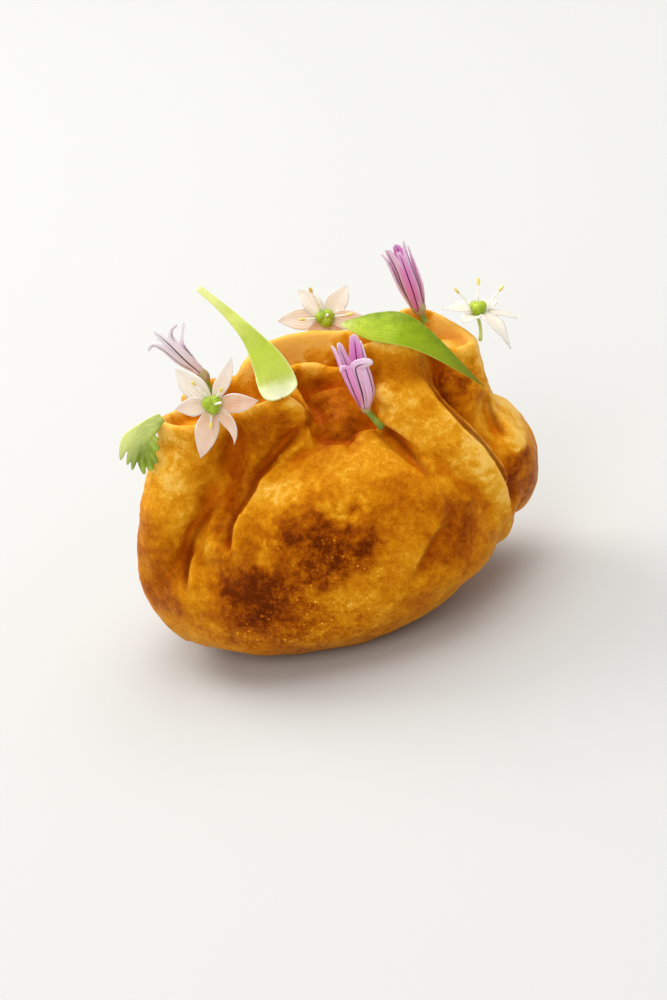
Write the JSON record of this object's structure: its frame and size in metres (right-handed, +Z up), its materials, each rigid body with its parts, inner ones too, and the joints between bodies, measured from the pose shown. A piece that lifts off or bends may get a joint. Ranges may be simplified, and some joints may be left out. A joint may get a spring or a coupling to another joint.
{
  "type": "empanada",
  "caption": "Bite-size baked empanada, a plump pastry purse with a gathered wavy crest, topped with small flowers and leaves.",
  "frame": {"origin": "on the flat underside, under the middle of the pastry", "axes": "+X along the length towards the right end, -Y towards the front, +Z up through the gathered crest"},
  "size_m": [0.0637, 0.041, 0.0567],
  "materials": {
    "crust": "golden brown baked dough, darker patches, small pale blisters, slight oily sheen",
    "white_petal": "thin translucent white petals with faint veins, green ovary, yellow anthers",
    "lilac_petal": "thin translucent lilac petals with a dark middle vein",
    "pale_leaf": "thin pale yellow-green leaf, soft sheen",
    "fresh_leaf": "thin fresh green leaf, soft sheen",
    "herb_leaf": "thin green herb leaf, soft sheen"
  },
  "bodies": {
    "root": {"pastry": "crust", "star_flower_left": "white_petal", "star_flower_back": "white_petal", "star_flower_right": "white_petal", "floret_left": "lilac_petal", "floret_middle": "lilac_petal", "floret_right": "lilac_petal", "cress_leaf": "pale_leaf", "long_leaf": "fresh_leaf", "coriander_leaf": "herb_leaf"}
  },
  "joints": []
}
